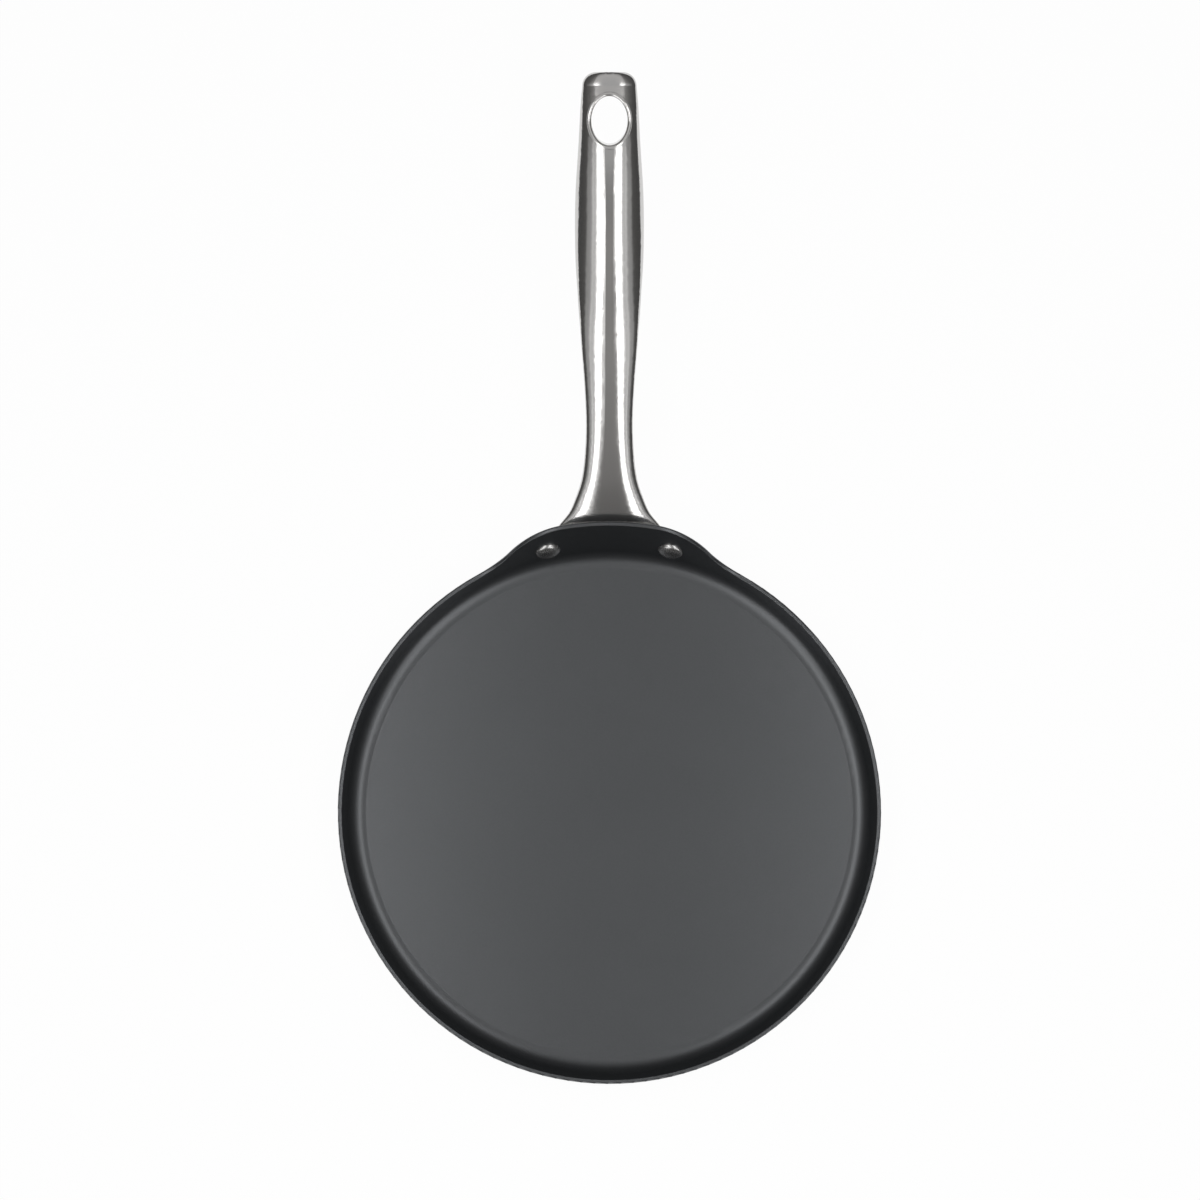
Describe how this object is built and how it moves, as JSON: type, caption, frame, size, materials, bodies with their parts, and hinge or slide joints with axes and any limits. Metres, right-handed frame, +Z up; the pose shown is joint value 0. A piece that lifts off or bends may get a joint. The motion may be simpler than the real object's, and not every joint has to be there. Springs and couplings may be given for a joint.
{
  "type": "crepe pan",
  "caption": "Shallow round crepe pan with a dark non-stick inside, a raised wall lobe at the back and a riveted hollow steel handle with an oval hanging eye.",
  "frame": {"origin": "centre of the pan's resting face, on the table", "axes": "+Y from the pan's centre along the handle, +Z up out of the cooking surface, +X to the right with the handle pointing away"},
  "size_m": [0.24, 0.4461, 0.0646],
  "materials": {
    "nonstick": "satin dark non-stick coating on pressed aluminium",
    "plate_steel": "turned stainless steel",
    "flange_steel": "satin stainless steel",
    "rivet_steel": "polished stainless steel",
    "handle_steel": "brushed stainless steel",
    "eye_steel": "polished stainless steel"
  },
  "bodies": {
    "root": {"pan_body": "nonstick", "induction_plate": "plate_steel", "mounting_flange": "flange_steel", "rivet_left": "rivet_steel", "rivet_right": "rivet_steel", "handle_upper_shell": "handle_steel", "handle_lower_shell": "handle_steel", "hanging_eye": "eye_steel"}
  },
  "joints": []
}
